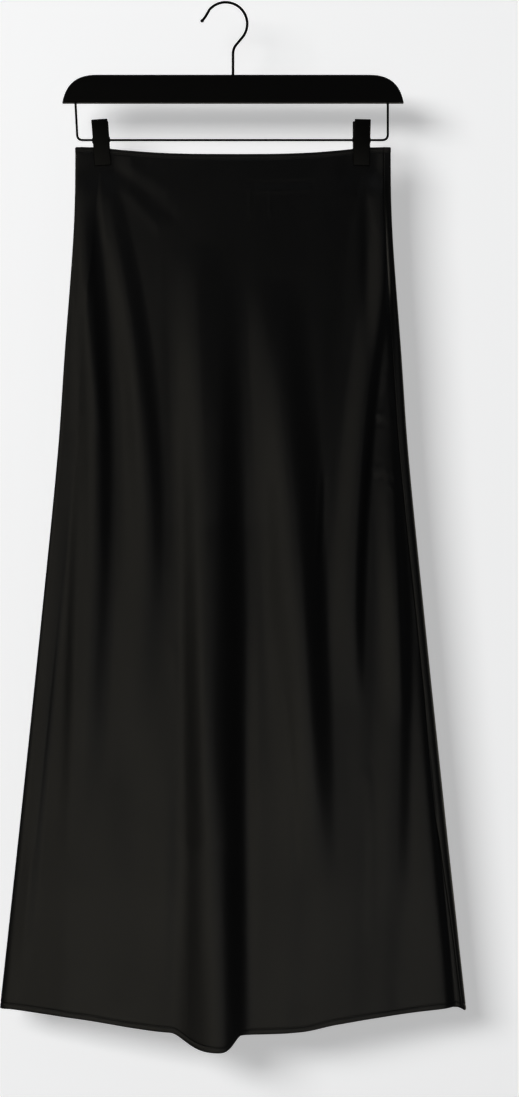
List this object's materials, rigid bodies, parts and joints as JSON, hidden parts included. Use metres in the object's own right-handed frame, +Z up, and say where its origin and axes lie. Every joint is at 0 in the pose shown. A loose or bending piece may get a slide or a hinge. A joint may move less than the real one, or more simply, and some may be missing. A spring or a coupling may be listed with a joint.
{
  "type": "maxi skirt on clip hanger",
  "caption": "Long flared satin skirt, open at waist and hem, hanging from the clips of a wooden hanger with a wire hook.",
  "frame": {"origin": "the inner top of the hook's arc, where a wardrobe rail bears", "axes": "+X to the right seen from the front, -Y towards the front of the skirt, +Z up"},
  "size_m": [0.5196, 0.0879, 1.1642],
  "materials": {
    "satin": "smooth black satin with a soft, broad sheen",
    "edging": "stitched satin edge over narrow elastic",
    "wood": "matt black paint on wood",
    "wire": "satin black steel wire",
    "jaw": "satin black pressed steel"
  },
  "bodies": {
    "root": {"front_panel": "satin", "back_panel": "satin", "waist_edge_front": "edging", "waist_edge_back": "edging", "hanger_bar": "wood", "hanger_hook": "wire", "hanger_rail": "wire", "clip_left_front_jaw": "jaw", "clip_left_back_jaw": "jaw", "clip_left_sleeve": "wire", "clip_left_spring": "wire", "clip_right_front_jaw": "jaw", "clip_right_back_jaw": "jaw", "clip_right_sleeve": "wire", "clip_right_spring": "wire"}
  },
  "joints": []
}
